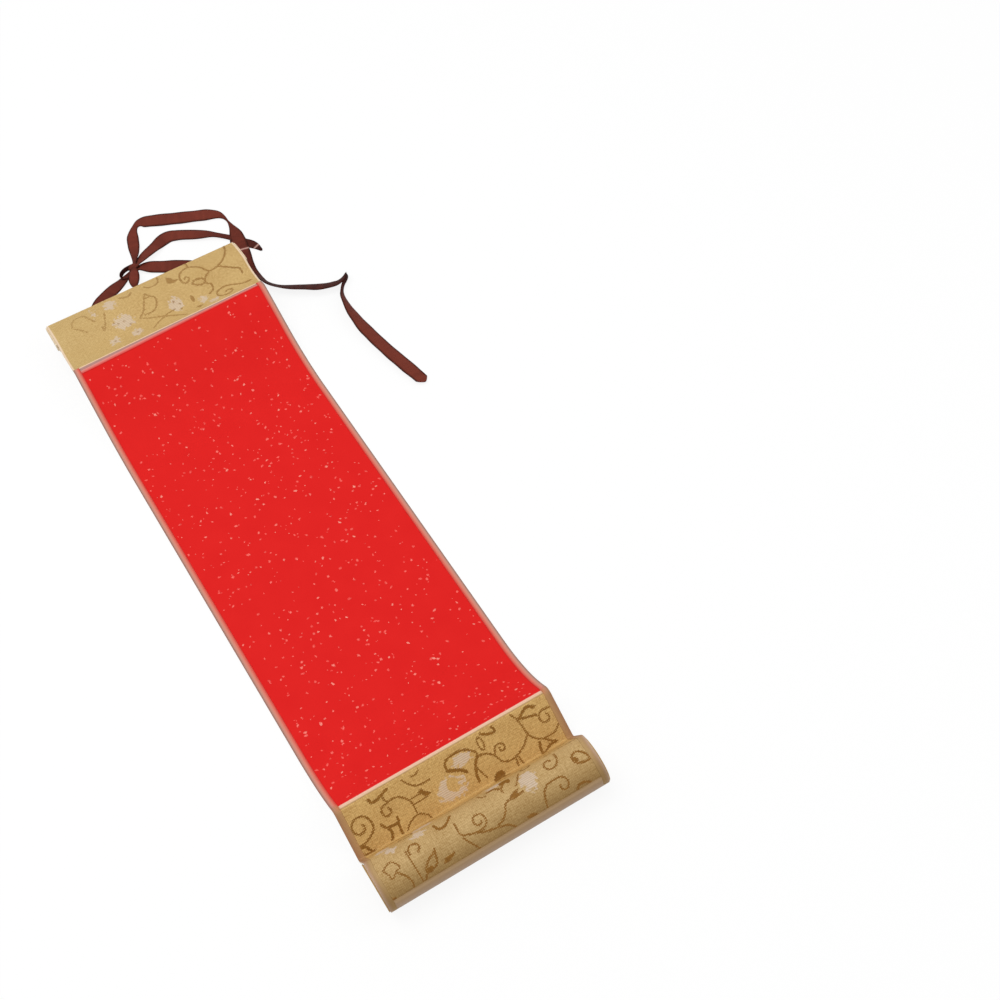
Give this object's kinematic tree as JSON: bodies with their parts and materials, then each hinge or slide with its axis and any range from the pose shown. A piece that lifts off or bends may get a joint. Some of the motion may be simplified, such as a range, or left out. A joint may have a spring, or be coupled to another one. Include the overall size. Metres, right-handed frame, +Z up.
{
  "type": "hanging paper scroll",
  "caption": "Small blank hanging scroll lying open: gold-flecked red paper between brocade panels, with a flat top stick, a bottom roller and a ribbon to hang and tie it.",
  "frame": {"origin": "middle of the scroll's length and width, without its ribbon, on the table that it lies on", "axes": "+X across the scroll to its right edge, +Y along it to the top stick, +Z up from the table"},
  "size_m": [0.1743, 0.4729, 0.026],
  "materials": {
    "red_paper": "matt, gold flecked",
    "brocade": "woven silk, satin",
    "binding": "plain woven silk",
    "backing_paper": "matt",
    "wood": "sanded, bare",
    "ribbon": "satin",
    "brass": "drawn wire"
  },
  "bodies": {
    "root": {"backing_paper": "backing_paper", "red_paper": "red_paper", "top_brocade": "brocade", "bottom_brocade": "brocade", "left_side_strip": "binding", "right_side_strip": "binding", "upper_cross_strip": "binding", "lower_cross_strip": "binding", "roll_hem_strip": "binding", "left_roller_cap": "brocade", "right_roller_cap": "brocade", "top_stick": "wood", "bottom_roller": "wood", "left_eyelet": "brass", "right_eyelet": "brass", "short_tie_ribbon": "ribbon", "long_tie_ribbon": "ribbon", "hanging_ribbon": "ribbon", "ribbon_knot": "ribbon"}
  },
  "joints": []
}
